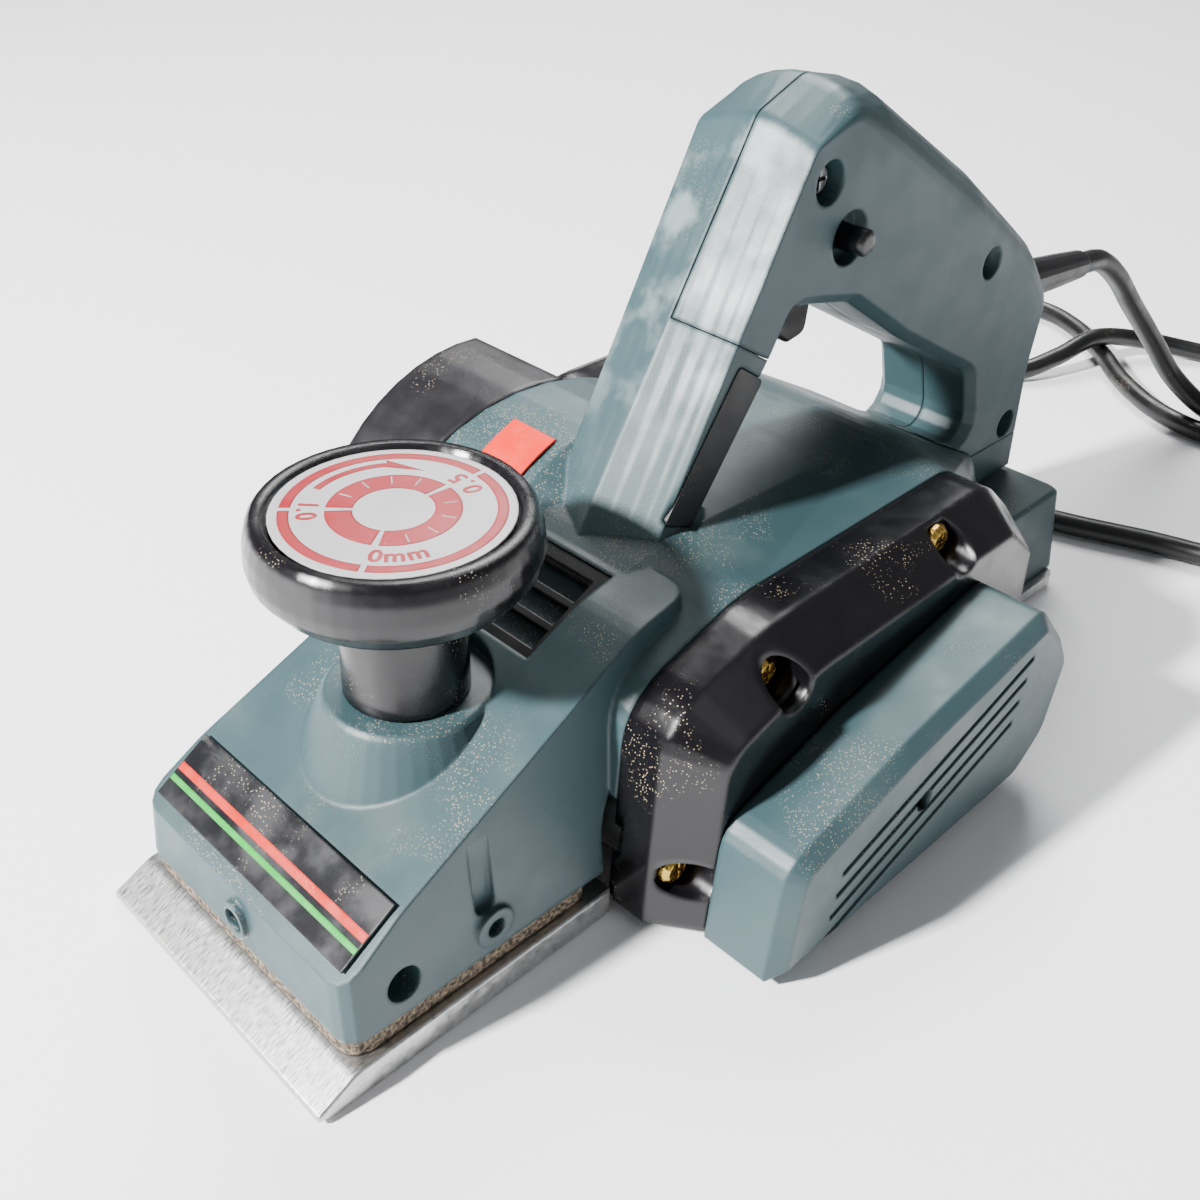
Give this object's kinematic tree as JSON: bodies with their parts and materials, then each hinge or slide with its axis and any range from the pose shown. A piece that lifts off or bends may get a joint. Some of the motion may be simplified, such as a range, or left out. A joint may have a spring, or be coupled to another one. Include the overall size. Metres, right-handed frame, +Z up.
{
  "type": "electric hand planer",
  "caption": "Corded electric hand planer with depth knob, D handle, belt-driven cutter drum, side chip chute and flat soles.",
  "frame": {"origin": "centre of the rear sole's underside, on the plane of both soles", "axes": "+X in the planing direction towards the depth knob, +Y to the belt side (left when planing), +Z up"},
  "size_m": [0.5002, 0.2989, 0.1669],
  "materials": {
    "teal_plastic": "satin",
    "black_plastic": "polished",
    "dark_plastic": "satin",
    "sole_aluminium": "brushed",
    "drum_aluminium": "machined",
    "steel": "brushed",
    "screw_brass": "satin",
    "winding_copper": "satin",
    "core_steel": "satin",
    "foam": "matte",
    "cord_rubber": "matte",
    "belt_rubber": "matte",
    "dial_label": "satin",
    "badge_label": "polished",
    "sticker_label": "satin"
  },
  "bodies": {
    "housing": {"rear_base": "sole_aluminium", "nose_seal": "foam", "main_housing": "teal_plastic", "handle_cover": "teal_plastic", "leg_panel": "dark_plastic", "window_grille": "dark_plastic", "side_cover": "black_plastic", "side_cover_screw_1": "screw_brass", "side_cover_screw_2": "screw_brass", "side_cover_screw_3": "screw_brass", "belt_cover": "teal_plastic", "belt_cover_screw": "steel", "chip_chute": "black_plastic", "motor_end_cover": "black_plastic", "handle_screw_top": "steel", "handle_screw_grip": "steel", "handle_screw_leg": "steel", "depth_spring": "steel", "nose_badge": "badge_label", "hump_sticker": "sticker_label", "switch_body": "dark_plastic", "cutter_bearing_left": "steel", "cutter_bearing_right": "steel", "drive_belt": "belt_rubber", "stator": "core_steel", "motor_bearing_left": "steel", "motor_bearing_right": "steel", "brush_holder_front": "screw_brass", "brush_holder_rear": "screw_brass", "strain_relief": "cord_rubber", "cord": "cord_rubber", "cord_coil": "cord_rubber", "cord_end": "cord_rubber", "plug": "cord_rubber"},
    "front_shoe": {"front_base": "sole_aluminium"},
    "knob": {"depth_knob": "black_plastic", "knob_dial": "dial_label", "depth_screw": "steel"},
    "cutter": {"cutter_drum": "drum_aluminium", "blade_1": "steel", "blade_2": "steel", "blade_clamp_1": "steel", "blade_clamp_2": "steel", "cutter_pulley": "steel"},
    "rotor": {"armature": "winding_copper", "fan": "dark_plastic", "drive_pulley": "steel"},
    "trigger": {"trigger": "black_plastic"},
    "lock_button": {"lock_button": "black_plastic"}
  },
  "joints": [
    {"name": "knob_turn", "type": "hinge", "parent": "housing", "child": "knob", "pos_m": [0.1387, 0, 0.08], "axis": [0, 0, 1], "range_deg": [-288, 0]},
    {"name": "front_shoe_lift", "type": "slide", "parent": "housing", "child": "front_shoe", "axis": [0, 0, 1], "range_m": [0, 0.001], "deforming": ["nose_seal", "depth_spring"]},
    {"name": "motor_spin", "type": "hinge", "parent": "housing", "child": "rotor", "pos_m": [0.023, 0, 0.033], "axis": [0, -1, 0], "continuous": true},
    {"name": "cutter_spin", "type": "hinge", "parent": "housing", "child": "cutter", "pos_m": [0.091, 0, 0.022], "axis": [0, -1, 0], "continuous": true},
    {"name": "trigger_press", "type": "slide", "parent": "housing", "child": "trigger", "axis": [0, 0, 1], "range_m": [0, 0.005], "stiffness_N_per_m": 300, "springref_m": -0.003},
    {"name": "lock_button_press", "type": "slide", "parent": "housing", "child": "lock_button", "axis": [0, -1, 0], "range_m": [0, 0.003], "stiffness_N_per_m": 300, "springref_m": -0.002}
  ],
  "couplings": [
    {"joint": "front_shoe_lift", "follows": "knob_turn", "m_per_rad": -0.00019894},
    {"joint": "cutter_spin", "follows": "motor_spin", "ratio": 1.3158}
  ]
}
